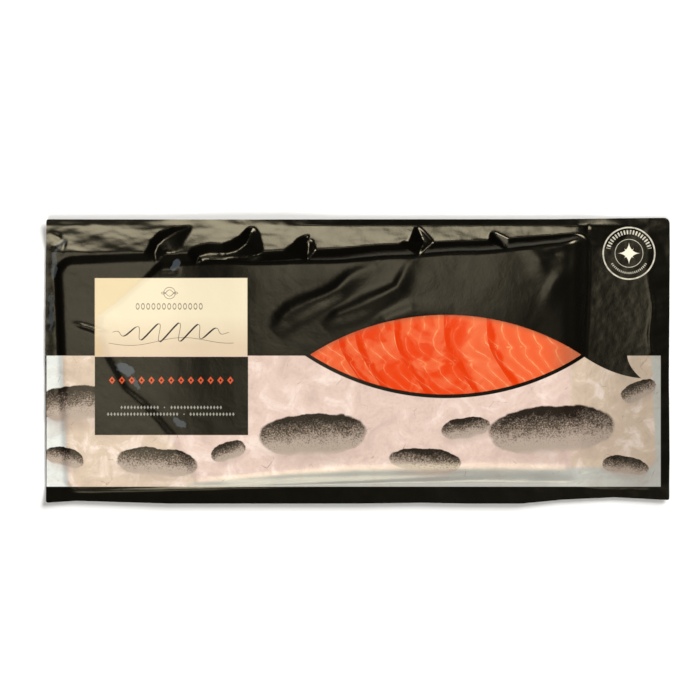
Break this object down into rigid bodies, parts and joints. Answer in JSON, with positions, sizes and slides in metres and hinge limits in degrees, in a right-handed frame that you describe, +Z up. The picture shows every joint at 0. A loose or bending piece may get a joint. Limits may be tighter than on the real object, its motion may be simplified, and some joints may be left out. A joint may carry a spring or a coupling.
{
  "type": "pack of smoked salmon",
  "caption": "Flat vacuum pack of sliced smoked salmon: a black film pouch drawn over a board and fish, with a clear lens-shaped window; lies on its back.",
  "frame": {"origin": "middle of the underside, on the surface that the pack lies on", "axes": "+X along the pack's length towards the end with the small emblem, +Y across it towards the plain black edge, +Z up through its thickness"},
  "size_m": [0.38, 0.174, 0.0123],
  "materials": {
    "printed_film": "glossy printed film, black with pale fields",
    "clear_film": "clear glossy film",
    "salmon": "moist orange fish flesh with pale fat lines"
  },
  "bodies": {
    "root": {"pouch": "printed_film", "window_film": "clear_film", "salmon_slice_1": "salmon", "salmon_slice_2": "salmon", "salmon_slice_3": "salmon", "salmon_slice_4": "salmon", "salmon_slice_5": "salmon", "salmon_slice_6": "salmon"}
  },
  "joints": []
}
